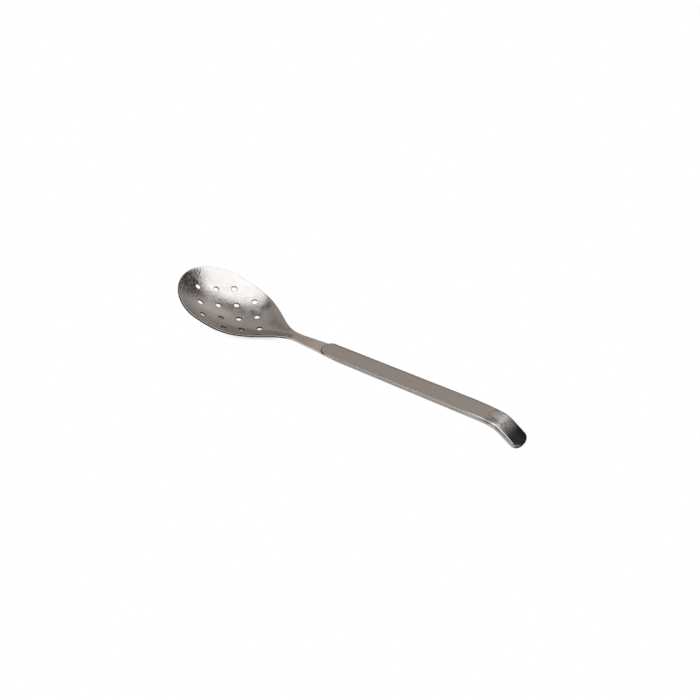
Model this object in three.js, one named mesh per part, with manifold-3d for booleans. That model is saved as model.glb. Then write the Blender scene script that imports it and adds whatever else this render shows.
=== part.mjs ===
// A pierced serving spoon in satin steel. One pressed blank makes the bowl, the neck and the strap
// under the handle. A shallow pressed cover lies on the strap, with a filler shut inside it.
// The handle ends in a hook bent down, and the spoon stands on its bowl and on the hook's end.
import * as THREE from 'three';
import Module from 'manifold-3d';
import { mergeVertices } from 'three/addons/utils/BufferGeometryUtils.js';

// Sizes in millimetres. The drawing has the strap level, the bowl's tip at x = 0 and the top face
// of the neck at z = 0. Distances along the spoon are measured from the tip.

// Bowl outline seen from above
const BOWL_WIDTH = 61;
const WIDEST_AT = 29.5;
const NECK_AT = 101.2;
const NECK_WIDTH = 8.9;
const TIP_ROUNDNESS = 1.9;
const SHOULDER_FULLNESS = 3.2;
const SHOULDER_HOLLOW = 3.2;

// Bowl seen from the side: the rim line and the basin below it
const TIP_RISE = 16.9;
const RIM_RUN = 81;
const BASIN_DEPTH = 8.1;
const DEEPEST_AT = 47;
const BASIN_END = 98;
const BASIN_FULLNESS = 2.4;
const BASIN_RUNOUT = 1.7;

// Sheet thickness of the bowl and of the heavier neck and strap
const BOWL_SHEET = 1.3;
const STRAP_SHEET = 1.5;
const THICKENING_START = 76;

// Holes, in rows across the bowl
const HOLE_DIAMETER = 4;
const FIRST_ROW_AT = 11;
const ROW_PITCH = 9.1;
const HOLE_SPACING = 20;
const HOLES_IN_ROW = [1, 2, 3, 2, 3, 2, 1];
const PUNCH_LENGTH = 5;

// Handle seen from above
const FLARE_END = 136.5;
const HANDLE_WIDTH_AT_JOINT = 15.5;
const HANDLE_WIDTH_AT_HOOK = 17.4;
const COVER_START = 121.2;
const NOSE_DEPTH = 6;

// Cover on the strap
const COVER_HEIGHT_AT_JOINT = 0.6;
const COVER_HEIGHT_AT_HOOK = 1.8;
const COVER_HEIGHT_AT_END = 0.8;
const COVER_WALL = 0.5;
const COVER_EDGE_RADIUS = 1;
const LOW_EDGE_SHARE = 0.75;
const SEAM_GAP = 0.3;

// Filler inside the cover
const FILLER_START = 175;
const FILLER_CLEARANCE = 0.3;

// Hook, bent down in a slack lead and a tighter bend that end in a short straight
const HOOK_AT = 255;
const LEAD_RADIUS = 160;
const LEAD_ANGLE = 5;
const BEND_RADIUS = 21.7;
const BEND_ANGLE = 27.5;
const HOOK_STRAIGHT = 12.2;
const END_DEPTH = 5.5;

// How finely the curves are divided
const TIP_STEPS = 12;
const BASIN_STEPS = 20;
const NECK_STEPS = 9;
const STRAIGHT_STEPS = 6;
const BEND_STEPS = 8;
const END_STEPS = 8;
const TAPER_STEPS = 4;
const SECTION_STEPS = 18;
const EDGE_STEPS = 4;
const HOLE_SIDES = 18;
const REST_STEPS = 80;
const SLOPE_STEP = 0.01;
const FIRST_STEP = 0.02;

const radians = THREE.MathUtils.degToRad;
const mix = THREE.MathUtils.lerp;

function share(value, from, to) {
  return THREE.MathUtils.clamp((value - from) / (to - from), 0, 1);
}

// Lengths of the strap's parts beyond the start of the hook
const LEAD_LENGTH = LEAD_RADIUS * radians(LEAD_ANGLE);
const BEND_LENGTH = BEND_RADIUS * radians(BEND_ANGLE);
const BEND_START = HOOK_AT + LEAD_LENGTH;
const BEND_END = BEND_START + BEND_LENGTH;
const CORNER_AT = BEND_END + HOOK_STRAIGHT;
const STRAP_END = CORNER_AT + END_DEPTH;

// Half width of the handle at a distance from the tip, without its rounded ends
function handleHalfWidth(at) {
  return mix(HANDLE_WIDTH_AT_JOINT, HANDLE_WIDTH_AT_HOOK, share(at, COVER_START, HOOK_AT)) / 2;
}

// The strap's end is half an ellipse, which rounds both corners
function endHalfWidth(at) {
  return (HANDLE_WIDTH_AT_HOOK / 2) * Math.sqrt(1 - share(at, CORNER_AT, STRAP_END) ** 2);
}

// Half width of the pressed blank: round tip, full shoulders, narrow neck, flare and strap
function blankHalfWidth(at) {
  if (at < WIDEST_AT) {
    return (BOWL_WIDTH / 2) * Math.sqrt(1 - (1 - at / WIDEST_AT) ** TIP_ROUNDNESS);
  }
  if (at < NECK_AT) {
    const along = share(at, WIDEST_AT, NECK_AT);
    const shoulder = (1 - along ** SHOULDER_FULLNESS) ** SHOULDER_HOLLOW;
    return mix(NECK_WIDTH, BOWL_WIDTH, shoulder) / 2;
  }
  if (at < FLARE_END) {
    return mix(NECK_WIDTH / 2, handleHalfWidth(at), share(at, NECK_AT, FLARE_END));
  }
  return at < CORNER_AT ? handleHalfWidth(at) : endHalfWidth(at);
}

// The rim line falls from the tip and runs out level at the neck's top face
function rimHeight(at) {
  return TIP_RISE * Math.max(0, 1 - at / RIM_RUN) ** 2;
}

function basinDepth(at) {
  if (at < DEEPEST_AT) {
    return BASIN_DEPTH * (1 - (1 - at / DEEPEST_AT) ** BASIN_FULLNESS);
  }
  const along = share(at, DEEPEST_AT, BASIN_END);
  return BASIN_DEPTH * (1 - along ** BASIN_FULLNESS) ** BASIN_RUNOUT;
}

// Height of the bowl's inner face: a parabola across the spoon between the two rims
function innerHeight(at, across) {
  const halfWidth = blankHalfWidth(at);
  return rimHeight(at) - basinDepth(at) * (1 - (across / halfWidth) ** 2);
}

// Direction square to the bowl's inner face, from its slopes along and across the spoon
function sheetNormal(at, across) {
  const along = Math.max(at, 2 * SLOPE_STEP);
  const ahead = innerHeight(along + SLOPE_STEP, across) - innerHeight(along - SLOPE_STEP, across);
  const aside = innerHeight(along, across + SLOPE_STEP) - innerHeight(along, across - SLOPE_STEP);
  return new THREE.Vector3(-ahead, -aside, 2 * SLOPE_STEP).normalize();
}

function sheetThickness(at) {
  return mix(BOWL_SHEET, STRAP_SHEET, share(at, THICKENING_START, NECK_AT));
}

// Place on the strap's top face, and the direction square to it, at a distance from the tip
function strapPlace(at) {
  const lead = radians(LEAD_ANGLE) * share(at, HOOK_AT, BEND_START);
  const bend = radians(BEND_ANGLE) * share(at, BEND_START, BEND_END);
  const turned = lead + bend;
  const straight = Math.max(0, at - BEND_END);
  const afterLead = LEAD_RADIUS * Math.sin(lead);
  const leadDrop = LEAD_RADIUS * (1 - Math.cos(lead));
  const afterBend = BEND_RADIUS * (Math.sin(turned) - Math.sin(lead));
  const bendDrop = BEND_RADIUS * (Math.cos(lead) - Math.cos(turned));
  const x = Math.min(at, HOOK_AT) + afterLead + afterBend + straight * Math.cos(turned);
  const z = -leadDrop - bendDrop - straight * Math.sin(turned);
  return { x, z, up: new THREE.Vector3(Math.sin(turned), 0, Math.cos(turned)) };
}

// A point beside the strap's middle line, raised square to the strap
function strapPoint(at, across, raised) {
  const place = strapPlace(at);
  return new THREE.Vector3(place.x + raised * place.up.x, across, place.z + raised * place.up.z);
}

// Even steps between two distances, without the first one
function stepsAfter(from, to, count) {
  return Array.from({ length: count }, (_, i) => mix(from, to, (i + 1) / count));
}

// Steps that crowd towards the start, for a round tip or nose
function roundStart(from, to, count) {
  return Array.from({ length: count + 1 }, (_, i) => {
    const angle = (Math.PI / 2) * Math.max(i / count, FIRST_STEP);
    return mix(from, to, 1 - Math.cos(angle));
  });
}

// Steps that crowd towards the end, for the strap's round end
function roundEnd(from, to, count) {
  return roundStart(to, from, count).reverse().slice(1);
}

function hookSteps() {
  return [
    ...stepsAfter(HOOK_AT, BEND_START, BEND_STEPS / 2),
    ...stepsAfter(BEND_START, BEND_END, BEND_STEPS),
    ...stepsAfter(BEND_END, CORNER_AT, TAPER_STEPS),
  ];
}

// Skins closed rings of points, one for each station, and caps both ends
function loft(rings) {
  const count = rings[0].length;
  const positions = rings.flat().flatMap((point) => [point.x, point.y, point.z]);
  const index = [];
  for (let i = 0; i + 1 < rings.length; i += 1) {
    for (let j = 0; j < count; j += 1) {
      const a = i * count + j;
      const b = i * count + ((j + 1) % count);
      index.push(a, a + count, b, b, a + count, b + count);
    }
  }
  const last = (rings.length - 1) * count;
  for (let j = 0; j < count / 2 - 1; j += 1) {
    const k = count - 1 - j;
    index.push(j, j + 1, k, j + 1, k - 1, k);
    index.push(last + j, last + k, last + j + 1, last + j + 1, last + k, last + k - 1);
  }
  const geometry = new THREE.BufferGeometry();
  geometry.setAttribute('position', new THREE.Float32BufferAttribute(positions, 3));
  geometry.setIndex(index);
  return geometry;
}

const wasm = await Module();
wasm.setup();

function solidFrom(geometry) {
  const bare = geometry.clone();
  bare.deleteAttribute('normal');
  bare.deleteAttribute('uv');
  const merged = mergeVertices(bare, 1e-5);
  return new wasm.Manifold(new wasm.Mesh({
    numProp: 3,
    vertProperties: new Float32Array(merged.attributes.position.array),
    triVerts: new Uint32Array(merged.index.array),
  }));
}

function geometryFrom(solid) {
  const mesh = solid.getMesh();
  const geometry = new THREE.BufferGeometry();
  geometry.setAttribute('position', new THREE.BufferAttribute(new Float32Array(mesh.vertProperties), 3));
  geometry.setIndex(new THREE.BufferAttribute(new Uint32Array(mesh.triVerts), 1));
  geometry.computeVertexNormals();
  return geometry;
}

// Ring of the blank at a station: over the top face from right to left, back along the underside
function blankRing(at) {
  const halfWidth = blankHalfWidth(at);
  const thickness = sheetThickness(at);
  const top = [];
  const under = [];
  for (let i = 0; i <= SECTION_STEPS; i += 1) {
    const across = mix(-halfWidth, halfWidth, i / SECTION_STEPS);
    if (at < NECK_AT) {
      const face = new THREE.Vector3(at, across, innerHeight(at, across));
      top.push(face);
      under.unshift(face.clone().addScaledVector(sheetNormal(at, across), -thickness));
    } else {
      top.push(strapPoint(at, across, 0));
      under.unshift(strapPoint(at, across, -thickness));
    }
  }
  return [...top, ...under];
}

function blankStations() {
  return [
    ...roundStart(0, WIDEST_AT, TIP_STEPS),
    ...stepsAfter(WIDEST_AT, NECK_AT, BASIN_STEPS),
    ...stepsAfter(NECK_AT, FLARE_END, NECK_STEPS),
    ...stepsAfter(FLARE_END, HOOK_AT, STRAIGHT_STEPS),
    ...hookSteps(),
    ...roundEnd(CORNER_AT, STRAP_END, END_STEPS),
  ];
}

// A punch for one hole, square to the sheet
function holePunch(at, across) {
  const radius = HOLE_DIAMETER / 2;
  const punch = new THREE.CylinderGeometry(radius, radius, PUNCH_LENGTH, HOLE_SIDES);
  const normal = sheetNormal(at, across);
  const turn = new THREE.Quaternion().setFromUnitVectors(new THREE.Vector3(0, 1, 0), normal);
  punch.applyQuaternion(turn);
  const middle = new THREE.Vector3(at, across, innerHeight(at, across));
  middle.addScaledVector(normal, -BOWL_SHEET / 2);
  return solidFrom(punch.translate(middle.x, middle.y, middle.z));
}

function makeBowlAndStrap() {
  let blank = solidFrom(loft(blankStations().map(blankRing)));
  HOLES_IN_ROW.forEach((count, row) => {
    const at = FIRST_ROW_AT + row * ROW_PITCH;
    for (let i = 0; i < count; i += 1) {
      const across = (i - (count - 1) / 2) * HOLE_SPACING;
      blank = blank.subtract(holePunch(at, across));
    }
  });
  return geometryFrom(blank);
}

// The cover rises from the joint to the hook, and sinks again in a soft curve towards its end
function coverHeight(at) {
  const risen = mix(COVER_HEIGHT_AT_JOINT, COVER_HEIGHT_AT_HOOK, share(at, COVER_START, HOOK_AT));
  return mix(risen, COVER_HEIGHT_AT_END, share(at, BEND_END, STRAP_END) ** 2);
}

// Half width of the cover: an elliptical nose in front, and the strap's own round end behind
function coverHalfWidth(at) {
  const side = at < CORNER_AT ? handleHalfWidth(at) : endHalfWidth(at);
  const back = 1 - share(at, COVER_START, COVER_START + NOSE_DEPTH);
  return side * Math.sqrt(1 - back * back);
}

// Radius of the cover's edge, smaller where the cover is low
function edgeRadius(at) {
  return Math.min(COVER_EDGE_RADIUS, LOW_EDGE_SHARE * coverHeight(at));
}

// Distance of the rounded edge below the top face, at a distance in from the outline
function edgeDrop(radius, inward) {
  const left = Math.max(0, radius - inward);
  return radius - Math.sqrt(radius ** 2 - left ** 2);
}

// Ring of the cover's outside: a flat top between two rounded edges, on the seam above the strap
function coverRing(at) {
  const halfWidth = coverHalfWidth(at);
  const fromEnds = Math.min(at - COVER_START, STRAP_END - at);
  const radius = edgeRadius(at);
  const rounding = Math.min(radius, halfWidth / 2);
  const left = [];
  const right = [];
  for (let i = 0; i <= EDGE_STEPS; i += 1) {
    const inward = rounding * (1 - Math.cos((Math.PI / 2) * (i / EDGE_STEPS)));
    const raised = SEAM_GAP + coverHeight(at) - edgeDrop(radius, Math.min(inward, fromEnds));
    left.push(strapPoint(at, inward - halfWidth, raised));
    right.unshift(strapPoint(at, halfWidth - inward, raised));
  }
  const top = [...left, ...right];
  const bottom = top.map((_, i) => {
    const across = mix(halfWidth, -halfWidth, i / (top.length - 1));
    return strapPoint(at, across, SEAM_GAP);
  });
  return [...top, ...bottom];
}

function coverStations() {
  return [
    ...roundStart(COVER_START, COVER_START + NOSE_DEPTH, END_STEPS),
    ...stepsAfter(COVER_START + NOSE_DEPTH, HOOK_AT, STRAIGHT_STEPS),
    ...hookSteps(),
    ...roundEnd(CORNER_AT, STRAP_END, END_STEPS),
  ];
}

// A plain ring with straight sides between two heights above the strap
function plainRing(at, halfWidth, low, high) {
  return [
    strapPoint(at, -halfWidth, high),
    strapPoint(at, halfWidth, high),
    strapPoint(at, halfWidth, low),
    strapPoint(at, -halfWidth, low),
  ];
}

// The room inside the cover, held back from the outline by the wall, and open towards the strap
function makeCover() {
  const outside = solidFrom(loft(coverStations().map(coverRing)));
  const from = COVER_START + NOSE_DEPTH;
  const stations = [from, ...stepsAfter(from, HOOK_AT, STRAIGHT_STEPS), ...hookSteps()];
  const room = stations.map((at) => {
    const halfWidth = coverHalfWidth(at) - COVER_WALL;
    return plainRing(at, halfWidth, 0, SEAM_GAP + coverHeight(at) - COVER_WALL);
  });
  return geometryFrom(outside.subtract(solidFrom(loft(room))));
}

// The filler takes up the room inside the cover, thin in front and thick towards the hook
function makeFiller() {
  const end = CORNER_AT - COVER_WALL;
  const stations = [FILLER_START, ...stepsAfter(FILLER_START, HOOK_AT, STRAIGHT_STEPS), ...hookSteps()];
  const rings = stations.map((at) => {
    const place = Math.min(at, end);
    const halfWidth = coverHalfWidth(place) - COVER_WALL - FILLER_CLEARANCE;
    const high = SEAM_GAP + coverHeight(place) - COVER_WALL - FILLER_CLEARANCE;
    return plainRing(place, halfWidth, FILLER_CLEARANCE, high);
  });
  return solidFrom(loft(rings));
}

const satinSteel = new THREE.MeshStandardMaterial({ color: 0x8c847c, roughness: 0.34, metalness: 1 });
const coverSteel = new THREE.MeshStandardMaterial({ color: 0x8b837b, roughness: 0.38, metalness: 1 });
const fillerResin = new THREE.MeshStandardMaterial({ color: 0x6b6660, roughness: 0.9, metalness: 0 });

function piece(name, geometry, material) {
  const mesh = new THREE.Mesh(geometry, material);
  mesh.name = name;
  return mesh;
}

// Slope of the table under the drawing: it touches the strap's end and the bowl's underside
function restTilt() {
  const end = strapPoint(STRAP_END, 0, -STRAP_SHEET);
  let slope = -Infinity;
  for (const at of stepsAfter(0, NECK_AT, REST_STEPS)) {
    const low = new THREE.Vector3(at, 0, innerHeight(at, 0));
    low.addScaledVector(sheetNormal(at, 0), -sheetThickness(at));
    slope = Math.max(slope, (end.z - low.z) / (end.x - low.x));
  }
  return Math.atan(slope);
}

const drawing = new THREE.Group();
drawing.add(piece('bowl_and_strap', makeBowlAndStrap(), satinSteel));
drawing.add(piece('handle_cover', makeCover(), coverSteel));
drawing.add(piece('handle_filler', geometryFrom(makeFiller()), fillerResin));
drawing.rotation.y = restTilt();

// The origin is under the middle of the spoon, on the table
const spoon = new THREE.Group();
spoon.add(drawing);
const reach = new THREE.Box3().setFromObject(spoon, true);
const middle = reach.getCenter(new THREE.Vector3());
drawing.position.set(-middle.x, -middle.y, -reach.min.z);

export default spoon;
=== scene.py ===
# %% [markdown]
# This lesson dresses a pierced serving spoon in worn satin steel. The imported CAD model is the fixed
# frame: it gives the places and the sizes. The steel pieces are made again here as fine meshes with
# rounded edges, because a faceted solid would show its facets in the reflections.

# %% Load the frame
import math
import bmesh
import bpy
from mathutils import Matrix, Vector


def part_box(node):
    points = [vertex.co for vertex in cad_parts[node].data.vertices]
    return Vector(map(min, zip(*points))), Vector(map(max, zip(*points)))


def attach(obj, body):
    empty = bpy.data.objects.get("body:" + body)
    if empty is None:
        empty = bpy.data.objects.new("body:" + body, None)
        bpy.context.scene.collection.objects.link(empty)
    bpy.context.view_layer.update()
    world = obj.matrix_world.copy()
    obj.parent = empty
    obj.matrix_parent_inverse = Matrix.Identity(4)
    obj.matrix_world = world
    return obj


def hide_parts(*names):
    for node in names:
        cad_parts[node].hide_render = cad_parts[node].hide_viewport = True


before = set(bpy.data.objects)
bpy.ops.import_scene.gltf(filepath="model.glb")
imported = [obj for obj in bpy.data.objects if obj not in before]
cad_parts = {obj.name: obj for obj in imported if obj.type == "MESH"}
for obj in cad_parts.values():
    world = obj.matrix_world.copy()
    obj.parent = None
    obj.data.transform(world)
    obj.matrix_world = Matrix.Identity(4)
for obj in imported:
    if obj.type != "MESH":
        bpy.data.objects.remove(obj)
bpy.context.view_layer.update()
print("nodes in the frame:", sorted(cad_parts))

# %% [markdown]
# Two helpers do most of the arithmetic. `share` says how far a value has come between two marks, from
# 0 to 1, and `mix` goes that far from one number to another. Every taper of the spoon uses them.

# %% Two helpers for tapers
def mix(a, b, part):
    return a + (b - a) * part


def share(value, start, end):
    return min(1.0, max(0.0, (value - start) / (end - start)))


print("half way from 2 to 4:", mix(2, 4, share(15, 10, 20)))

# %% [markdown]
# The blank is the flat shape that the press works on. Its half width follows four curves in turn: a
# round tip, full shoulders that hollow out into the neck, a straight flare, and the strap. An outline
# traced by hand would do, but with formulas the same few numbers give every edge and face. All sizes
# are those of the drawing, in millimetres. The drawing has the strap level, the bowl's tip at 0 and
# the neck's top face at height 0, and "at" is always a distance from the tip.

# %% The blank's half width
BOWL_WIDTH = 61.0
WIDEST_AT = 29.5
TIP_ROUNDNESS = 1.9
SHOULDER_FULLNESS = 3.2
SHOULDER_HOLLOW = 3.2
NECK_AT = 101.2
NECK_WIDTH = 8.9
COVER_START = 121.2
FLARE_END = 136.5
HOOK_AT = 255.0
HANDLE_WIDTH_AT_JOINT = 15.5
HANDLE_WIDTH_AT_HOOK = 17.4


def handle_half_width(at):
    return mix(HANDLE_WIDTH_AT_JOINT, HANDLE_WIDTH_AT_HOOK, share(at, COVER_START, HOOK_AT)) / 2


def blank_half_width(at):
    if at < WIDEST_AT:
        return BOWL_WIDTH / 2 * math.sqrt(1 - (1 - at / WIDEST_AT) ** TIP_ROUNDNESS)
    if at < NECK_AT:
        along = share(at, WIDEST_AT, NECK_AT)
        return mix(NECK_WIDTH, BOWL_WIDTH, (1 - along ** SHOULDER_FULLNESS) ** SHOULDER_HOLLOW) / 2
    if at < FLARE_END:
        return mix(NECK_WIDTH / 2, handle_half_width(at), share(at, NECK_AT, FLARE_END))
    return handle_half_width(at)


print("half width at the neck:", round(blank_half_width(NECK_AT), 2), "mm")

# %% [markdown]
# Pressing gives the bowl its double curvature. The rim falls from the raised tip, and the basin hangs
# below it as a parabola across the spoon. A subdivision cage could be pushed to that shape by hand,
# but a formula keeps the face smooth enough for clean reflections and exact enough to fit the frame.

# %% The bowl's inner face
TIP_RISE = 16.9
RIM_RUN = 81.0
BASIN_DEPTH = 8.1
DEEPEST_AT = 47.0
BASIN_END = 98.0
BASIN_FULLNESS = 2.4
BASIN_RUNOUT = 1.7
TINY = 1e-6


def basin_depth(at):
    if at < DEEPEST_AT:
        return BASIN_DEPTH * (1 - (1 - at / DEEPEST_AT) ** BASIN_FULLNESS)
    return BASIN_DEPTH * (1 - share(at, DEEPEST_AT, BASIN_END) ** BASIN_FULLNESS) ** BASIN_RUNOUT


def inner_height(at, across):
    rim = TIP_RISE * max(0.0, 1 - at / RIM_RUN) ** 2
    ratio = across / max(blank_half_width(at), TINY)
    return rim - basin_depth(at) * (1 - ratio * ratio)


def sheet_normal(at, across, step=0.01):
    along = max(at, 2 * step)
    ahead = inner_height(along + step, across) - inner_height(along - step, across)
    aside = inner_height(along, across + step) - inner_height(along, across - step)
    return Vector((-ahead, -aside, 2 * step)).normalized()


print("inner face at the deepest place:", round(inner_height(DEEPEST_AT, 0), 2), "mm")

# %% [markdown]
# The handle ends in a hook that hangs on a rail. It is bent in one stroke: a slack lead, a tighter
# bend, and a short straight end. A curve object with a bevel could follow it, but two arcs and a line
# are exact, and they also say which way is up at any place, which the cover needs as well.

# %% The strap and its hook
LEAD_RADIUS = 160.0
LEAD_ANGLE = 5.0
BEND_RADIUS = 21.7
BEND_ANGLE = 27.5
HOOK_STRAIGHT = 12.2
END_DEPTH = 5.5

BEND_START = HOOK_AT + LEAD_RADIUS * math.radians(LEAD_ANGLE)
BEND_END = BEND_START + BEND_RADIUS * math.radians(BEND_ANGLE)
CORNER_AT = BEND_END + HOOK_STRAIGHT
STRAP_END = CORNER_AT + END_DEPTH


def strap_frame(at):
    lead = math.radians(LEAD_ANGLE) * share(at, HOOK_AT, BEND_START)
    turned = lead + math.radians(BEND_ANGLE) * share(at, BEND_START, BEND_END)
    straight = max(0.0, at - BEND_END)
    x = min(at, HOOK_AT) + LEAD_RADIUS * math.sin(lead)
    x += BEND_RADIUS * (math.sin(turned) - math.sin(lead)) + straight * math.cos(turned)
    z = -LEAD_RADIUS * (1 - math.cos(lead)) - straight * math.sin(turned)
    z -= BEND_RADIUS * (math.cos(lead) - math.cos(turned))
    return Vector((x, 0, z)), Vector((math.sin(turned), 0, math.cos(turned)))


print("length along the strap:", round(STRAP_END, 2), "mm")

# %% [markdown]
# Bowl, neck and strap are one sheet of steel, which is a little thicker from the neck on. `steel_face`
# gives a point of its top face and the direction square to it, so that every later step can ask for
# any place on the sheet without knowing whether it lies in the bowl or on the strap.

# %% The sheet
BOWL_SHEET = 1.3
STRAP_SHEET = 1.5
THICKENING_START = 76.0


def steel_face(at, across):
    if at < NECK_AT:
        return Vector((at, across, inner_height(at, across))), sheet_normal(at, across)
    middle, up = strap_frame(at)
    return middle + Vector((0, across, 0)), up


def sheet_thickness(at):
    return mix(BOWL_SHEET, STRAP_SHEET, share(at, THICKENING_START, NECK_AT))


print("sheet in the bowl and at the neck:", sheet_thickness(0), sheet_thickness(NECK_AT), "mm")

# %% [markdown]
# The spoon stands on its bowl and on the end of its hook, so the drawing is turned a little about the
# Y axis and moved until its strap's end lies where the frame's does. Turning the finished objects
# would be simpler, but a piece of the frame keeps its object at the origin. So all points go through
# `place`, which also turns millimetres into metres.

# %% Stand the drawing on the table
MM_IN_A_METRE = 1000


def rest_tilt(samples=80):
    middle, up = strap_frame(STRAP_END)
    end = middle - up * STRAP_SHEET
    slopes = []
    for i in range(1, samples + 1):
        at = NECK_AT * i / samples - TINY
        point, normal = steel_face(at, 0)
        low = point - normal * sheet_thickness(at)
        slopes.append((end.z - low.z) / (end.x - low.x))
    return math.atan(max(slopes))


tilt = rest_tilt()
turn = Matrix.Rotation(tilt, 3, "Y")
end_middle, end_up = strap_frame(STRAP_END)
end_points = [turn @ (end_middle - end_up * depth) for depth in (0, STRAP_SHEET)]
blank_low, blank_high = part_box("bowl_and_strap")
shift = Vector((
    blank_high.x * MM_IN_A_METRE - max(point.x for point in end_points),
    0,
    blank_low.z * MM_IN_A_METRE - min(point.z for point in end_points),
))


def place(point):
    return (turn @ point + shift) / MM_IN_A_METRE


print("tilt:", round(math.degrees(tilt), 3), "degrees, shift:", [round(v, 3) for v in shift])

# %% [markdown]
# A plate such as this one is easiest to mesh with spokes. Each spoke starts on the spine, runs over
# the top face to the outline, goes round the edge and comes back below. Round ends fan out from one
# foot on the spine, so the edge stays evenly divided there, and the bowl's foot is hidden in a hole.
# The spokes stand close together in the bend, where a reflection would show every facet.

# %% Spokes along the outline
TIP_SPOKES = 34
BOWL_SPOKES = 70
FLARE_SPOKES = 20
HANDLE_SPOKES = 30
LEAD_SPOKES = 6
BEND_SPOKES = 20
STRAIGHT_SPOKES = 10
CORNER_SPOKES = 4
END_SPOKES = 24
END_FOOT = CORNER_AT - 3.0


def sections(start, end, count):
    return [mix(start, end, (i + 1) / count) for i in range(count)]


def handle_spokes(start):
    places = sections(start, HOOK_AT, HANDLE_SPOKES) + sections(HOOK_AT, BEND_START, LEAD_SPOKES)
    places += sections(BEND_START, BEND_END, BEND_SPOKES)
    places += sections(BEND_END, END_FOOT, STRAIGHT_SPOKES)
    spokes = [(at, at, handle_half_width(at)) for at in places]
    corner = sections(END_FOOT, CORNER_AT, CORNER_SPOKES)
    spokes += [(END_FOOT, at, handle_half_width(at)) for at in corner]
    for angle in sections(0, math.pi / 2, END_SPOKES):
        at = CORNER_AT + END_DEPTH * math.sin(angle)
        spokes.append((END_FOOT, at, HANDLE_WIDTH_AT_HOOK / 2 * math.cos(angle)))
    return spokes


def blank_spokes():
    spokes = []
    for i in range(TIP_SPOKES + 1):
        angle = math.pi / 2 * i / TIP_SPOKES
        at = WIDEST_AT * (1 - max(0.0, math.cos(angle)) ** (2 / TIP_ROUNDNESS))
        spokes.append((WIDEST_AT, at, BOWL_WIDTH / 2 * math.sin(angle)))
    places = sections(WIDEST_AT, NECK_AT, BOWL_SPOKES) + sections(NECK_AT, FLARE_END, FLARE_SPOKES)
    spokes += [(at, at, blank_half_width(at)) for at in places]
    return spokes + handle_spokes(FLARE_END)


print("spokes on each side of the blank:", len(blank_spokes()))

# %% [markdown]
# One spoke becomes one row of points: over the top face, round the edge, and back below. The edge is a
# short list of steps outward and upward from the outline, square to it, so that the same function can
# make the sheet with its worn round edges and the hollow cover with its lip.

# %% Points on one spoke
FACE_STEPS = 20


def outline_direction(spokes, index):
    if index == 0:
        at, across = spokes[1][1:]
        return steel_face(at, across)[0] - steel_face(at, -across)[0]
    if index == len(spokes) - 1:
        at, across = spokes[-2][1:]
        return steel_face(at, -across)[0] - steel_face(at, across)[0]
    return steel_face(*spokes[index + 1][1:])[0] - steel_face(*spokes[index - 1][1:])[0]


def spoke_points(spokes, index, top_rise, edge_steps, under_rise):
    foot, rim_at, rim_across = spokes[index]
    rim, normal = steel_face(rim_at, rim_across)
    outward = normal.cross(outline_direction(spokes, index)).normalized()
    if outward.dot(rim - steel_face(foot, 0)[0]) < 0:
        outward = -outward
    steps = edge_steps(rim_at)
    length = math.hypot(rim_at - foot, rim_across)
    faces = []
    for inset, face_rise in ((-steps[0][0], top_rise), (-steps[-1][0], under_rise)):
        face = []
        for i in range(FACE_STEPS):
            part = i / FACE_STEPS * (1 - inset / length)
            at, across = mix(foot, rim_at, part), rim_across * part
            point, up = steel_face(at, across)
            face.append(point + up * face_rise(at))
        faces.append(face)
    edge = [rim + outward * out + normal * rise for out, rise in steps]
    return faces[0] + edge + faces[1][::-1]


print("points on each face of a spoke:", FACE_STEPS)

# %% [markdown]
# `plate` joins the rows to a closed mesh. It builds one side, mirrors it, and merges what meets on the
# spine. Each point of the edge also gets a share of dull steel and painted shade, which travels with the
# mesh as an attribute: a finish can read it later, and it stays in its place when the holes are cut.

# %% Build a plate from spokes
def plate(name, spokes, top_rise, edge_steps, under_rise, dullness_and_shade=lambda step, at: 0.0):
    work = bmesh.new()
    dull_shade_layer = work.verts.layers.float.new("dull_shaded_edge")
    one_side = [spoke_points(spokes, index, top_rise, edge_steps, under_rise)
                for index in range(len(spokes))]
    for side in (1, -1):
        rows = []
        for points, spoke in zip(one_side, spokes):
            row = [work.verts.new(place(Vector((p.x, p.y * side, p.z)))) for p in points]
            for step, vertex in enumerate(row[FACE_STEPS:-FACE_STEPS]):
                vertex[dull_shade_layer] = dullness_and_shade(step, spoke[1])
            rows.append(row)
        for one, two in zip(rows, rows[1:]):
            for i in range(len(one) - 1):
                work.faces.new((one[i], one[i + 1], two[i + 1], two[i]))
    bmesh.ops.remove_doubles(work, verts=work.verts, dist=TINY)
    bmesh.ops.dissolve_degenerate(work, edges=work.edges, dist=TINY)
    bmesh.ops.recalc_face_normals(work, faces=work.faces)
    mesh = bpy.data.meshes.new(name)
    work.to_mesh(mesh)
    work.free()
    piece = bpy.data.objects.new(name, mesh)
    bpy.context.scene.collection.objects.link(piece)
    print(name, "has", len(mesh.polygons), "faces")
    return piece


# %% [markdown]
# The pressed blank comes first. The press sheared it out of a sheet, so its edge is a dull wall, but
# years of use have rounded the corner above it and eased the one below. The edge steps go over the
# upper corner, down the wall and round the lower corner. The wall is marked in the bowl only: it is
# dull, and there it also gets painted shade for the shaded floor that it mirrors.

# %% The bowl, neck and strap in one sheet
RIM_RADIUS = 0.25
STRAP_RADIUS = 0.4
UNDER_RADIUS = 0.12
CORNER_STEPS = 4
STRAP_EDGE_START = 85.0
SHADED_RIM_FADE = (84, 92)


def quarter(radius, start, steps):
    turns = [math.radians(start + 90 * i / steps) for i in range(steps + 1)]
    return [(radius * math.cos(t), radius * math.sin(t)) for t in turns]


def sheet_edge(at):
    thick = sheet_thickness(at)
    over = mix(RIM_RADIUS, STRAP_RADIUS, share(at, STRAP_EDGE_START, NECK_AT))
    upper = [(x - over, z - over) for x, z in reversed(quarter(over, 0, CORNER_STEPS))]
    lower = [(x - UNDER_RADIUS, z + UNDER_RADIUS - thick)
             for x, z in reversed(quarter(UNDER_RADIUS, -90, CORNER_STEPS))]
    return upper + lower


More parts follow.
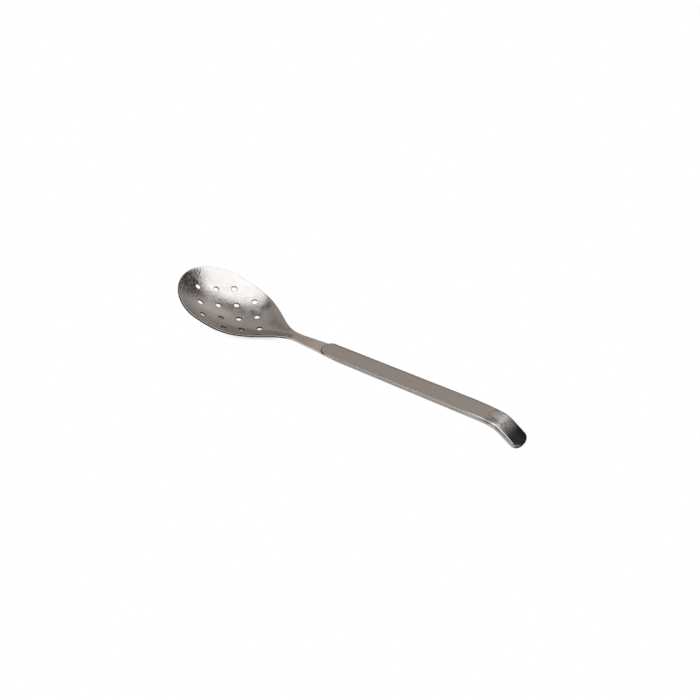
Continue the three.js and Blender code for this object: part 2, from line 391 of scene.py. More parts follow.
# Dull steel and painted shade on the bowl's rim wall, fading out before the neck.
def rim_dullness_and_shade(step, at):
    return share(step, CORNER_STEPS - 1.5, CORNER_STEPS) * (1 - share(at, *SHADED_RIM_FADE))


steel_blank = plate(
    "pierced_bowl_and_strap", blank_spokes(),
    lambda at: 0.0, sheet_edge, lambda at: -sheet_thickness(at), rim_dullness_and_shade,
)

# %% [markdown]
# The drain holes are punched square to the sheet. One cutter with a waist does it: its middle has the
# hole's size and both ends open out in a quarter round, so the cut leaves softly broken edges. Holes
# in the spokes themselves would be cleaner topology but much more work, and the sheet is flat enough
# round a hole for a boolean to leave no visible seam.

# %% One cutter for each hole
HOLE_DIAMETER = 4.0
HOLE_EDGE = 0.25
HOLE_EDGE_STEPS = 3
CUTTER_REACH = 1.6
CUTTER_SIDES = 40


def cutter_profile(thick):
    waist = [(HOLE_DIAMETER / 2 + HOLE_EDGE - x, thick / 2 - HOLE_EDGE + z)
             for x, z in quarter(HOLE_EDGE, 0, HOLE_EDGE_STEPS)]
    upper = waist + [(HOLE_DIAMETER / 2 + HOLE_EDGE, CUTTER_REACH)]
    return [(radius, -height) for radius, height in reversed(upper)] + upper


def add_cutter(work, at, across):
    face, up = steel_face(at, across)
    thick = sheet_thickness(at)
    middle = face - up * (thick / 2)
    side = up.orthogonal().normalized()
    other = up.cross(side)
    rings = []
    for radius, height in cutter_profile(thick):
        ring = []
        for i in range(CUTTER_SIDES):
            angle = 2 * math.pi * i / CUTTER_SIDES
            arm = side * math.cos(angle) + other * math.sin(angle)
            ring.append(work.verts.new(place(middle + up * height + arm * radius)))
        rings.append(ring)
    for one, two in zip(rings, rings[1:]):
        for i in range(CUTTER_SIDES):
            k = (i + 1) % CUTTER_SIDES
            work.faces.new((one[i], one[k], two[k], two[i]))
    work.faces.new(rings[0])
    work.faces.new(rings[-1])


print("steps in a cutter's profile:", len(cutter_profile(BOWL_SHEET)))

# %% [markdown]
# The punch has fourteen pins in a lattice: rows of one, two and three across the bowl. Here all the
# cutters are joined in one mesh and taken away in a single boolean, which is quicker than fourteen.
# The result is kept as a plain mesh, with smooth faces and sharp edges only where the steel turns.

# %% Punch the drain holes
FIRST_ROW_AT = 11.0
ROW_PITCH = 9.1
HOLE_SPACING = 20.0
HOLES_IN_ROW = [1, 2, 3, 2, 3, 2, 1]


def smooth(piece, sharp_above=35):
    piece.data.polygons.foreach_set("use_smooth", [True] * len(piece.data.polygons))
    piece.data.set_sharp_from_angle(angle=math.radians(sharp_above))


hole_places = [(FIRST_ROW_AT + row * ROW_PITCH, (i - (count - 1) / 2) * HOLE_SPACING)
               for row, count in enumerate(HOLES_IN_ROW) for i in range(count)]
cutters = bmesh.new()
for at, across in hole_places:
    add_cutter(cutters, at, across)
bmesh.ops.recalc_face_normals(cutters, faces=cutters.faces)
cutter_mesh = bpy.data.meshes.new("hole_cutters")
cutters.to_mesh(cutter_mesh)
cutters.free()
cutter = bpy.data.objects.new("hole_cutters", cutter_mesh)
bpy.context.scene.collection.objects.link(cutter)

cut = steel_blank.modifiers.new("drain_holes", "BOOLEAN")
cut.operation = "DIFFERENCE"
cut.solver = "EXACT"
cut.object = cutter
bpy.context.view_layer.update()
evaluated = steel_blank.evaluated_get(bpy.context.evaluated_depsgraph_get())
pierced = bpy.data.meshes.new_from_object(evaluated)
steel_blank.modifiers.clear()
steel_blank.data = pierced
bpy.data.objects.remove(cutter)
smooth(steel_blank)
print("holes:", len(hole_places), "faces after punching:", len(pierced.polygons))

# %% [markdown]
# A punch leaves the wall of a hole torn and dull, and no polishing mop reaches it. So each point of the
# mesh gets a share from 0 on the faces to 1 inside a hole, which the finish later turns into dark steel:
# dull, and with painted shade. A second material on the walls would do too, but a share fades out
# softly over the broken edge.

# %% Mark the walls of the holes
NEAR_A_HOLE = 0.005
WALL_FADE_START = 0.3
WALL_FADE_END = 0.12

wall_shade_share = pierced.attributes["dull_shaded_edge"]
print("points marked along the rim:", sum(1 for point in wall_shade_share.data if point.value > 0))
marked = 0
for at, across in hole_places:
    face, up = steel_face(at, across)
    centre = place(face)
    axis = (place(face + up) - centre).normalized()
    for vertex in pierced.vertices:
        arm = vertex.co - centre
        if arm.length < NEAR_A_HOLE:
            radius = (arm - axis * arm.dot(axis)).length * MM_IN_A_METRE
            level = share(radius, HOLE_DIAMETER / 2 + WALL_FADE_START, HOLE_DIAMETER / 2 + WALL_FADE_END)
            if level > 0:
                wall_shade_share.data[vertex.index].value = level
                marked += 1
print("points marked in the holes:", marked)

# %% [markdown]
# The cover is a shallow pressing that lies on the strap. It is thin at the rounded nose, three times
# as high at the hook, and sinks again towards the end that it shares with the strap. Its upper edge is
# crisp along the straight handle and slack in the bend, where the press couldn't hold it.

# %% How high the cover stands
NOSE_DEPTH = 6.0
SEAM_GAP = 0.3
COVER_HEIGHT_AT_JOINT = 0.6
COVER_HEIGHT_AT_HOOK = 1.8
COVER_HEIGHT_AT_END = 0.8
COVER_WALL = 0.5
COVER_EDGE_RADIUS = 0.4
BEND_EDGE_RADIUS = 1.6
LOW_EDGE_SHARE = 0.75
COVER_EDGE_STEPS = 8
SOFTENING_START = HOOK_AT - 8


def cover_height(at):
    risen = mix(COVER_HEIGHT_AT_JOINT, COVER_HEIGHT_AT_HOOK, share(at, COVER_START, HOOK_AT))
    return SEAM_GAP + mix(risen, COVER_HEIGHT_AT_END, share(at, BEND_END, STRAP_END) ** 2)


def cover_edge(at):
    high = cover_height(at)
    softened = mix(COVER_EDGE_RADIUS, BEND_EDGE_RADIUS, share(at, SOFTENING_START, BEND_START))
    radius = min(softened, LOW_EDGE_SHARE * (high - SEAM_GAP))
    top = [(x - radius, high - radius + z)
           for x, z in reversed(quarter(radius, 0, COVER_EDGE_STEPS))]
    return top + [(0, SEAM_GAP), (-COVER_WALL, SEAM_GAP), (-COVER_WALL, high - COVER_WALL)]


print("cover at the hook:", round(cover_height(HOOK_AT), 2), "mm above the strap")

# %% [markdown]
# Only the cover's outside shows, but it gets its real wall as well, so that the seam along the strap is
# a true dark gap. A solid block with a painted line would look the same from one side only. The cover
# uses the same spokes as the strap below it, behind a fan of its own for the rounded nose.

# %% The hollow handle cover
NOSE_SPOKES = 20


def cover_spokes():
    foot = COVER_START + NOSE_DEPTH
    spokes = []
    for i in range(NOSE_SPOKES + 1):
        angle = math.pi / 2 * i / NOSE_SPOKES
        at = foot - NOSE_DEPTH * math.cos(angle)
        spokes.append((foot, at, handle_half_width(at) * math.sin(angle)))
    return spokes + handle_spokes(foot)


handle_cover = plate(
    "pressed_handle_cover", cover_spokes(),
    cover_height, cover_edge, lambda at: cover_height(at) - COVER_WALL,
)
smooth(handle_cover)

# %% [markdown]
# Steel shows its finish through what it mirrors. A worn satin face is neither a mirror nor matt: its
# roughness changes from patch to patch, soft waves bend the reflections, and fine scratches run across.
# Every layer is a noise at its own scale, so no image is needed and no pattern repeats. These helpers
# start a finish and give it one layer of noise, which may be stretched into lines and turned.

# %% Start a finish and add noise
def add_node(tree, kind, **values):
    node = tree.nodes.new(kind)
    for key, value in values.items():
        setattr(node, key, value)
    return node


def new_finish(name):
    material = bpy.data.materials.new(name)
    material.use_nodes = True
    print("new finish:", name)
    return material, material.node_tree, material.node_tree.nodes["Principled BSDF"]


def on_object(tree):
    return add_node(tree, "ShaderNodeTexCoord").outputs["Object"]


def noise(tree, scale, detail=3.0, stretch=(1, 1, 1), spin=0.0, distortion=0.0):
    mapping = add_node(tree, "ShaderNodeMapping")
    mapping.inputs["Scale"].default_value = stretch
    mapping.inputs["Rotation"].default_value = (0, 0, spin)
    texture = add_node(tree, "ShaderNodeTexNoise")
    texture.inputs["Scale"].default_value = scale
    texture.inputs["Detail"].default_value = detail
    texture.inputs["Distortion"].default_value = distortion
    tree.links.new(on_object(tree), mapping.inputs["Vector"])
    tree.links.new(mapping.outputs["Vector"], texture.inputs["Vector"])
    return texture.outputs["Fac"]


print("helpers for a finish: add_node, new_finish, on_object, noise")

# %% [markdown]
# A noise by itself is only a grey cloud. `ranged` picks out a part of its range and gives it soft
# borders, which looks more like wear than a hard threshold does. `added`, `times` and `larger` join
# two layers. Each makes one node, and chains of them make every finish here.

# %% Range and join the layers
def ranged(tree, value, from_low, from_high, to_low, to_high):
    node = add_node(tree, "ShaderNodeMapRange", interpolation_type="SMOOTHSTEP")
    for key, number in zip(("From Min", "From Max", "To Min", "To Max"),
                           (from_low, from_high, to_low, to_high)):
        node.inputs[key].default_value = number
    tree.links.new(value, node.inputs["Value"])
    return node.outputs["Result"]


def joined(tree, operation, one, two):
    node = add_node(tree, "ShaderNodeMath", operation=operation)
    tree.links.new(one, node.inputs[0])
    tree.links.new(two, node.inputs[1])
    return node.outputs["Value"]


def added(tree, one, two):
    return joined(tree, "ADD", one, two)


def times(tree, one, two):
    return joined(tree, "MULTIPLY", one, two)


def larger(tree, one, two):
    return joined(tree, "MAXIMUM", one, two)


print("helpers for layers: ranged, added, times, larger")

# %% [markdown]
# A finished layer works on the steel in two ways. `blended` lets it choose between two tones, and
# `bumped` takes it as a height in metres and tilts the reflections by its slope. Moving the mesh itself
# would need millions of faces for pits this fine, and a bump costs none.

# %% Turn a layer into tone or relief
def blended(tree, factor, low, high):
    node = add_node(tree, "ShaderNodeMix", data_type="RGBA")
    for key, colour in (("A", low), ("B", high)):
        socket = [s for s in node.inputs if s.name == key and s.type == "RGBA"][0]
        if isinstance(colour, tuple):
            socket.default_value = (*colour, 1)
        else:
            tree.links.new(colour, socket)
    tree.links.new(factor, node.inputs["Factor"])
    return [s for s in node.outputs if s.type == "RGBA"][0]


def bumped(tree, height, distance, strength, under=None):
    node = add_node(tree, "ShaderNodeBump")
    node.inputs["Distance"].default_value = distance
    node.inputs["Strength"].default_value = strength
    tree.links.new(height, node.inputs["Height"])
    if under is not None:
        tree.links.new(under, node.inputs["Normal"])
    return node.outputs["Normal"]


print("helpers for the steel: blended, bumped")

# %% [markdown]
# Much of a worn look belongs to a place: the neck is bright, the bend is smudged, the walls are dark.
# Masks could be painted on the mesh, but a piece that already lies where it belongs can be asked where
# it is. `past` grows from 0 to 1 between two distances from the tip, and `between` falls again later.

# %% Say how far along the spoon
def spot(at):
    return place(steel_face(at, 0)[0]).x


def past_x(tree, start, end):
    split = add_node(tree, "ShaderNodeSeparateXYZ")
    tree.links.new(on_object(tree), split.inputs["Vector"])
    return ranged(tree, split.outputs["X"], start, end, 0, 1)


def past(tree, start, end):
    return past_x(tree, spot(start), spot(end))


def between(tree, rise_start, rise_end, fall_start, fall_end):
    return times(tree, past(tree, rise_start, rise_end), past(tree, fall_end, fall_start))


print("the hook begins at x =", round(spot(HOOK_AT), 4), "m")

# %% [markdown]
# Rounded places need a distance from a middle, and walls a distance from the middle line. `from_centre`
# is 1 on the outline of an ellipse and grows outward. `towards_side` is the distance in metres towards
# one side. It leans with the taper, so that one number means the same wall all along the handle.

# %% Say how far out or aside
TAPER_SLOPE = 0.0071
NEAR, FAR = -1, 1


def from_centre(tree, centre, half_length, half_width):
    mapping = add_node(tree, "ShaderNodeMapping", vector_type="TEXTURE")
    mapping.inputs["Location"].default_value = (*centre, 0)
    mapping.inputs["Scale"].default_value = (half_length, half_width, 1)
    flat = add_node(tree, "ShaderNodeVectorMath", operation="MULTIPLY")
    flat.inputs[1].default_value = (1, 1, 0)
    length = add_node(tree, "ShaderNodeVectorMath", operation="LENGTH")
    tree.links.new(on_object(tree), mapping.inputs["Vector"])
    tree.links.new(mapping.outputs["Vector"], flat.inputs[0])
    tree.links.new(flat.outputs["Vector"], length.inputs[0])
    return length.outputs["Value"]


def towards_side(tree, side):
    aim = add_node(tree, "ShaderNodeVectorMath", operation="DOT_PRODUCT")
    aim.inputs[1].default_value = (-TAPER_SLOPE, side, 0)
    tree.links.new(on_object(tree), aim.inputs[0])
    return aim.outputs["Value"]


print("the cover widens by", round(2 * TAPER_SLOPE * 100, 2), "mm on 100 mm")

# %% [markdown]
# The bowl and the strap are one sheet and so share one finish. Its tone comes first: large soft clouds
# change it a little, and fine specks darken the bowl. Near the tip the tone is darker in patches, which
# a rough noise breaks up, strongest at the rim and thinner just below the glare.

# %% Worn satin steel, its tone and dark patches
STEEL_DARKER = (0.53, 0.505, 0.487)
STEEL_LIGHTER = (0.575, 0.55, 0.535)
SPECK_TONE = (0.46, 0.435, 0.415)
TIP_MOTTLE_TONE = (0.2, 0.186, 0.178)
MOTTLED_TIP = ((spot(3), -0.005), 0.017, 0.017)
BELOW_GLARE = ((spot(27), 0.003), 0.015, 0.006)

worn_steel, tree, steel = new_finish("worn_satin_steel")
steel.inputs["Metallic"].default_value = 1.0
in_bowl = past(tree, 92, 78)
clouds = noise(tree, scale=45, detail=3.0, distortion=0.4)
tone = blended(tree, ranged(tree, clouds, 0.35, 0.65, 0, 1), STEEL_DARKER, STEEL_LIGHTER)
specks = ranged(tree, noise(tree, scale=650, detail=2.0), 0.3, 0.45, 0.5, 0)
tone = blended(tree, times(tree, specks, in_bowl), tone, SPECK_TONE)
# Darker patches near the tip and just below the glare, broken up by noise.
mottles = ranged(tree, noise(tree, scale=560, detail=3.0), 0.42, 0.58, 0, 0.8)
at_tip = ranged(tree, from_centre(tree, *MOTTLED_TIP), 0.55, 1.05, 1, 0)
below_glare = ranged(tree, from_centre(tree, *BELOW_GLARE), 0.5, 1.1, 0.45, 0)
tone = blended(tree, times(tree, mottles, added(tree, at_tip, below_glare)), tone, TIP_MOTTLE_TONE)
print("nodes for the tone and the stains:", len(tree.nodes))

# %% [markdown]
# The narrow neck is toned lighter, a painted highlight for the brighter reflection there. The handle's
# near wall looks darker than its top, on the strap as on the cover above it, up to the hook. The room
# alone doesn't give that line, so it is toned in as painted shade. Sheared walls are the darkest: the
# share marked on the mesh brings in their dull steel and painted shade last, over all the other layers.

# %% Worn satin steel, its neck and walls
NECK_HIGHLIGHT_TONE = (0.7, 0.655, 0.615)
NEAR_WALL_SHADE_TONE = (0.4, 0.38, 0.365)
SHEARED_WALL_SHADE_TONE = (0.13, 0.12, 0.115)
WALL_INNER, WALL_OUTER = 0.0076, 0.0079


# A band of painted shade on the handle's near wall, leaning with the taper.
def near_wall_shade(tree):
    return ranged(tree, towards_side(tree, NEAR), WALL_INNER, WALL_OUTER, 0, 0.8)


# Painted highlight: the neck is toned lighter.
tone = blended(tree, between(tree, 103, 117, 122, 124), tone, NECK_HIGHLIGHT_TONE)
on_handle = between(tree, 122, 126, HOOK_AT - 15, HOOK_AT + 5)
# Painted shade on the strap's near wall, up to the hook.
tone = blended(tree, times(tree, near_wall_shade(tree), on_handle), tone, NEAR_WALL_SHADE_TONE)
# Dull steel and painted shade on the sheared walls and in the holes.
dull_shaded_edge = add_node(tree, "ShaderNodeAttribute", attribute_name="dull_shaded_edge").outputs["Fac"]
tone = blended(tree, dull_shaded_edge, tone, SHEARED_WALL_SHADE_TONE)
tree.links.new(tone, steel.inputs["Base Color"])
print("nodes with the neck and the walls:", len(tree.nodes))

# %% [markdown]
# Roughness and relief make steel of the tone. Blotches vary the satin, and the tip is a little
# shinier. Three layers of bump lie over each other, each a tenth of a millimetre deep or less:
# slow waves from the press, pits that grow towards the tip, and two crossing sets of hairlines from
# years of scouring. Stronger bumps would be easier to see but would turn the steel into leather.

# %% Worn satin steel, its roughness and relief
near_tip = past(tree, 28, 10)
blotches = ranged(tree, noise(tree, scale=150, detail=4.0), 0.3, 0.7, 0.18, 0.28)
satin = added(tree, blotches, ranged(tree, near_tip, 0, 1, 0, -0.03))
tree.links.new(satin, steel.inputs["Roughness"])
waves = noise(tree, scale=110, detail=1.0)
pitting = times(tree, noise(tree, scale=700, detail=2.0), ranged(tree, near_tip, 0, 1, 0.3, 1))
hairlines = noise(tree, scale=260, detail=3.0, stretch=(0.6, 14, 14), spin=0.5)
cross_lines = noise(tree, scale=240, detail=3.0, stretch=(14, 0.7, 14), spin=-0.3)
scratches = times(tree, added(tree, hairlines, cross_lines), in_bowl)
relief = bumped(tree, waves, distance=0.00006, strength=1.0)
relief = bumped(tree, times(tree, pitting, in_bowl), distance=0.0001, strength=1.0, under=relief)
relief = bumped(tree, scratches, distance=0.00002, strength=0.06, under=relief)
tree.links.new(relief, steel.inputs["Normal"])
print("nodes in the worn satin steel:", len(tree.nodes))

# %% [markdown]
# The cover is brushed along its length. Noise stretched ninety times along the handle gives the brush
# lines, in the tone, the roughness and the bump alike, with faint hand wear in patches over it. Its far
# edge mirrors a dark part of the room as one thin line, which is toned in here, because a mesh edge of
# less than a millimetre is too thin to show it by itself. The near wall gets painted shade as on the
# strap.

# %% Brushed cover steel, its tone
BRUSHED_DARKER = (0.535, 0.508, 0.488)
BRUSHED_LIGHTER = (0.575, 0.55, 0.532)
HAND_WEAR_TONE = (0.50, 0.472, 0.45)
FAR_RIM_TONE = (0.3, 0.28, 0.265)

brushed_steel, tree, steel = new_finish("brushed_cover_steel")
steel.inputs["Metallic"].default_value = 1.0
brush = noise(tree, scale=22, detail=6.0, stretch=(1, 90, 90))
wear = noise(tree, scale=70, detail=4.0)
tone = blended(tree, ranged(tree, brush, 0.3, 0.7, 0, 1), BRUSHED_DARKER, BRUSHED_LIGHTER)
tone = blended(tree, ranged(tree, wear, 0.45, 0.75, 0, 0.35), tone, HAND_WEAR_TONE)
far_rim = ranged(tree, towards_side(tree, FAR), 0.0058, 0.007, 0, 0.8)
tone = blended(tree, far_rim, tone, FAR_RIM_TONE)
before_hook = past(tree, HOOK_AT + 5, HOOK_AT - 15)
# Painted shade on the cover's near wall, as on the strap.
tone = blended(tree, times(tree, near_wall_shade(tree), before_hook), tone, NEAR_WALL_SHADE_TONE)
print("nodes for the brushed tone:", len(tree.nodes))

# %% [markdown]
# Bending the hook has left its skin uneven, and the bend is toned darker and cooler in noisy patches,
# a painted shade for the darker reflections there. Past it the far half lies in its own shade, which is
# painted as well. Two lines of painted shade are toned in as thin bands, each on the outline of an
# ellipse that fits the rounded form: one along the cover's end, except on its near side, and one round
# the nose, in the corner where it meets the neck.

# %% Brushed cover steel, its bend and ends
BEND_SHADE_TONE = (0.25, 0.262, 0.28)
SHADE_TONE = (0.15, 0.155, 0.165)
END_RIM_SHADE_TONE = (0.1, 0.096, 0.094)
NOSE_RIM_SHADE_TONE = (0.1, 0.09, 0.08)
NOSE_FOOT = spot(COVER_START + NOSE_DEPTH)
ROUND_END = ((spot(CORNER_AT), 0), 0.0046, HANDLE_WIDTH_AT_HOOK / 2 / MM_IN_A_METRE)
ROUND_NOSE = ((NOSE_FOOT, 0), NOSE_DEPTH / MM_IN_A_METRE, HANDLE_WIDTH_AT_JOINT / 2 / MM_IN_A_METRE)

# Painted shade: darker, cooler patches through the bend.
bend_shade_patches = ranged(tree, noise(tree, scale=210, detail=3.0, distortion=0.5), 0.43, 0.57, 0, 0.85)
in_bend = between(tree, BEND_START - 7, BEND_START - 1, BEND_END - 3, BEND_END + 2)
tone = blended(tree, times(tree, bend_shade_patches, in_bend), tone, BEND_SHADE_TONE)
far_half = ranged(tree, towards_side(tree, FAR), -0.002, 0.0072, 0, 0.75)
tone = blended(tree, times(tree, far_half, past(tree, BEND_START + 5, BEND_END + 3)), tone, SHADE_TONE)
# A line of painted shade along the cover's end, left off its near side.
end_rim_shade = times(tree, ranged(tree, from_centre(tree, *ROUND_END), 0.84, 0.93, 0, 1),
                past(tree, CORNER_AT - 2, CORNER_AT))
off_near_side = ranged(tree, towards_side(tree, FAR), -0.006, -0.003, 0, 1)
tone = blended(tree, times(tree, end_rim_shade, off_near_side), tone, END_RIM_SHADE_TONE)
# A line of painted shade round the nose, in the corner at the neck.
nose_rim_shade = times(tree, ranged(tree, from_centre(tree, *ROUND_NOSE), 0.86, 0.95, 0, 1),
                 past_x(tree, NOSE_FOOT + 0.0015, NOSE_FOOT - 0.0005))
tone = blended(tree, nose_rim_shade, tone, NOSE_RIM_SHADE_TONE)
tree.links.new(tone, steel.inputs["Base Color"])
print("nodes with the bend and the ends:", len(tree.nodes))

# %% [markdown]
# The brushing also roughens the steel. The stretched skin of the bend is rougher still, and hands have
# worn the straight end beyond it shiny. Shallow dents run through the bend and fade out past it, and
# the brush lines lie over them as the finest relief.

# %% Brushed cover steel, its roughness and relief
satin = ranged(tree, added(tree, brush, wear), 0.7, 1.3, 0.22, 0.32)
rough_bend = ranged(tree, past(tree, BEND_START - 4, BEND_START + 2), 0, 1, 1, 1.3)
shiny_end = ranged(tree, past(tree, BEND_END, CORNER_AT), 0, 1, 1, 0.4)
satin = times(tree, satin, times(tree, rough_bend, shiny_end))
tree.links.new(satin, steel.inputs["Roughness"])
dented = between(tree, BEND_START - 7, BEND_START - 1, BEND_END - 3, BEND_END + 11)
dents = times(tree, noise(tree, scale=260, detail=2.0), dented)
relief = bumped(tree, dents, distance=0.0003, strength=1.0)
relief = bumped(tree, brush, distance=0.00003, strength=0.2, under=relief)
tree.links.new(relief, steel.inputs["Normal"])
print("nodes in the brushed cover steel:", len(tree.nodes))

# %% [markdown]
# The filler is cast into the hollow cover and never shows, but it is a piece of its own. It gets a
# plain cast look, and one noise is enough for both its tone and its small pores.

# %% Filler
PORE_DARKER = (0.1, 0.095, 0.09)
PORE_LIGHTER = (0.2, 0.19, 0.18)

filler_finish, tree, resin = new_finish("grey_filler")
resin.inputs["Roughness"].default_value = 0.85
pores = noise(tree, scale=600, detail=4.0)
tree.links.new(blended(tree, pores, PORE_DARKER, PORE_LIGHTER), resin.inputs["Base Color"])
tree.links.new(bumped(tree, pores, distance=0.0001, strength=0.4), resin.inputs["Normal"])
print("nodes in the filler:", len(tree.nodes))

# %% [markdown]
# Now each piece takes its finish, the CAD node that it stands for is hidden, and it rides on the one
# body. The filler keeps its CAD solid, whose shape is right. The difference between each new piece
# and its node is printed, because the pieces have to stay in the box of the frame.

# %% Dress the pieces
steel_blank.data.materials.clear()
steel_blank.data.materials.append(worn_steel)
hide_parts("bowl_and_strap")
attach(steel_blank, "root")

handle_cover.data.materials.append(brushed_steel)
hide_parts("handle_cover")
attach(handle_cover, "root")

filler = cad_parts["handle_filler"]
filler.data.materials.clear()
filler.data.materials.append(filler_finish)
for piece, node in ((steel_blank, "bowl_and_strap"), (handle_cover, "handle_cover")):
    corners = [piece.matrix_world @ Vector(corner) for corner in piece.bound_box]
    low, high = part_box(node)
    own_low = [min(c[i] for c in corners) for i in range(3)]
    own_high = [max(c[i] for c in corners) for i in range(3)]
    print(node, "differs by mm:",
          [round((a - b) * MM_IN_A_METRE, 3) for a, b in zip(own_low, low)],
          [round((a - b) * MM_IN_A_METRE, 3) for a, b in zip(own_high, high)])

# %% [markdown]
# The spoon stands on a wide white floor. A curved backdrop would be the usual choice in a studio, but
# a low camera never sees past a floor of this size, and a plane has no bend to light evenly.

# %% The floor
FLOOR_HALF_SIZE = 12.0

work = bmesh.new()
bmesh.ops.create_grid(work, x_segments=4, y_segments=4, size=FLOOR_HALF_SIZE)
floor_mesh = bpy.data.meshes.new("studio_floor")
work.to_mesh(floor_mesh)
work.free()
floor = bpy.data.objects.new("studio_floor", floor_mesh)
bpy.context.scene.collection.objects.link(floor)
print("floor:", 2 * FLOOR_HALF_SIZE, "m wide")

# %% [markdown]
# A white floor under a soft lamp comes out grey, and more light would bleach the steel. So the paint
# is mixed with a plain white glow where the camera sees the open floor. Ambient occlusion takes the
# glow away close to the spoon, which leaves the real shadow there. Under the bowl's near half, where
# the drain holes look down on it, a little more of the glow is taken away, so that the holes are dark.

# %% How much the floor glows
FLOOR_PAINT_TONE = (0.68, 0.67, 0.66)
SHADOW_REACH = 0.03
UNDER_NEAR_HALF = ((spot(39), -0.0095), 0.027, 0.0065)

floor_paint, tree, paint = new_finish("white_floor_paint")
paint.inputs["Base Color"].default_value = (*FLOOR_PAINT_TONE, 1)
paint.inputs["Roughness"].default_value = 0.9
path = add_node(tree, "ShaderNodeLightPath")
open_sky = add_node(tree, "ShaderNodeAmbientOcclusion", samples=16)
open_sky.inputs["Distance"].default_value = SHADOW_REACH
seen = times(tree, path.outputs["Is Camera Ray"], ranged(tree, open_sky.outputs["AO"], 0.03, 0.16, 0, 1))
lit_below = larger(tree, ranged(tree, from_centre(tree, *UNDER_NEAR_HALF), 0.5, 1.2, 0, 1),
                   ranged(tree, open_sky.outputs["AO"], 0.14, 0.3, 0, 1))
mirrored = larger(tree, path.outputs["Is Glossy Ray"], path.outputs["Is Transmission Ray"])
amount = added(tree, times(tree, seen, lit_below), mirrored)
print("nodes that set the glow:", len(tree.nodes))

# %% [markdown]
# The steel sees the floor as well, and there a photographer uses cards: a light one close beside the
# spoon for a bright underside, and darkness beyond it for contrast. Here the floor itself is that card
# in mirror rays. It is light up to 41 mm to each side, dark beyond that and past the hook, and shaded
# under the bowl and the hook, where the real floor gets little light.

# %% What the steel sees of the floor
CARD_HALF_WIDTH = 0.041
CARD_TONE = (0.95, 0.92, 0.9)
DARK_FLOOR = (0.1, 0.096, 0.092)
UNDER_HOOK_TONE = (0.07, 0.067, 0.065)
UNDER_BOWL_TONE = (0.14, 0.135, 0.13)
ENDLESS = 1000
BEYOND_HOOK = (0.149, 0.155)
UNDER_HOOK = ((0.146, 0), 0.012, 0.009)
UNDER_BOWL = ((spot(47), 0), 0.042, 0.028)

beside = from_centre(tree, (0, 0), ENDLESS, CARD_HALF_WIDTH)
card_tone = blended(tree, ranged(tree, beside, 0.88, 1.15, 0, 1), CARD_TONE, DARK_FLOOR)
card_tone = blended(tree, past_x(tree, *BEYOND_HOOK), card_tone, DARK_FLOOR)
under_hook = ranged(tree, from_centre(tree, *UNDER_HOOK), 0.8, 1.1, 1, 0)
card_tone = blended(tree, under_hook, card_tone, UNDER_HOOK_TONE)
under_bowl = ranged(tree, from_centre(tree, *UNDER_BOWL), 0.7, 1.05, 1, 0)
card_tone = blended(tree, under_bowl, card_tone, UNDER_BOWL_TONE)
glow = add_node(tree, "ShaderNodeEmission")
glow.inputs["Strength"].default_value = 1.0
glow_tone = blended(tree, path.outputs["Is Camera Ray"], card_tone, (1.0, 1.0, 1.0))
tree.links.new(glow_tone, glow.inputs["Color"])
blend_floor = add_node(tree, "ShaderNodeMixShader")
tree.links.new(amount, blend_floor.inputs["Fac"])
tree.links.new(paint.outputs["BSDF"], blend_floor.inputs[1])
tree.links.new(glow.outputs["Emission"], blend_floor.inputs[2])
tree.links.new(blend_floor.outputs["Shader"], tree.nodes["Material Output"].inputs["Surface"])
floor.data.materials.append(floor_paint)
print("nodes in the floor's paint:", len(tree.nodes))

# %% [markdown]
# Metal is a picture of its room, so the room matters as much as the lamp. It is a calm warm grey, and
# soft round patches on its walls and ceiling are darker or lighter: they give the dark tip of the bowl,
# its bright and dark bands, and the dark end of the hook. An image of a real room would do the same,
# but patches can be placed one by one. Each has a direction, given in degrees from straight up and
# round the Z axis, and an inner and an outer angle between which it fades.

# %% Aim a patch
def heading(from_up, round_z):
    tilted, turned = math.radians(from_up), math.radians(round_z)
    across = math.sin(tilted)
    return Vector((across * math.cos(turned), across * math.sin(turned), math.cos(tilted)))


def seen_towards(tree, towards):
    aim = add_node(tree, "ShaderNodeVectorMath", operation="DOT_PRODUCT")
    aim.inputs[1].default_value = towards
    tree.links.new(tree.nodes["Texture Coordinate"].outputs["Generated"], aim.inputs[0])
    return aim.outputs["Value"]


def room_patch(tree, room, towards, fade, colour):
    inner, outer = (math.cos(math.radians(angle)) for angle in fade)
    inside = ranged(tree, seen_towards(tree, heading(*towards)), outer, inner, 0, 1)
    return blended(tree, inside, room, colour)


print("straight up is", [round(v, 3) for v in heading(0, 0)])

# %% [markdown]
# To place a patch, the face of the steel is found first whose tone is wrong in the render, and then the
# direction that it mirrors. A later patch in the list covers an earlier one where they meet.

# %% Patches in the room
ROOM_GREY = (0.47, 0.417, 0.385)
ROOM_PATCHES = [
    ((52, 92), (5, 14), (0.74, 0.68, 0.64)),
    ((57, 160), (5, 14), (0.27, 0.24, 0.22)),
    ((15, -30), (43, 50), (0.07, 0.073, 0.076)),
    ((34, -173), (7, 15), (0.045, 0.047, 0.05)),
    ((58, 65), (10, 18), (0.3, 0.285, 0.275)),
    ((53.5, 61), (5.5, 13), (0.03, 0.031, 0.035)),
]

world = bpy.data.worlds.new("grey_room")
bpy.context.scene.world = world
world.use_nodes = True
tree = world.node_tree
add_node(tree, "ShaderNodeTexCoord")
room = ROOM_GREY
for towards, fade, colour in ROOM_PATCHES:
    room = room_patch(tree, room, towards, fade, colour)
print("patches in the room:", len(ROOM_PATCHES))

# %% [markdown]
# The handle's walls and the hook look at the lower part of the room. It is dark on the near side and in
# a narrower sector on the far side, and it darkens everywhere towards the horizon, except for one
# lighter patch that the hook's end mirrors. The camera itself sees plain white where no floor is.

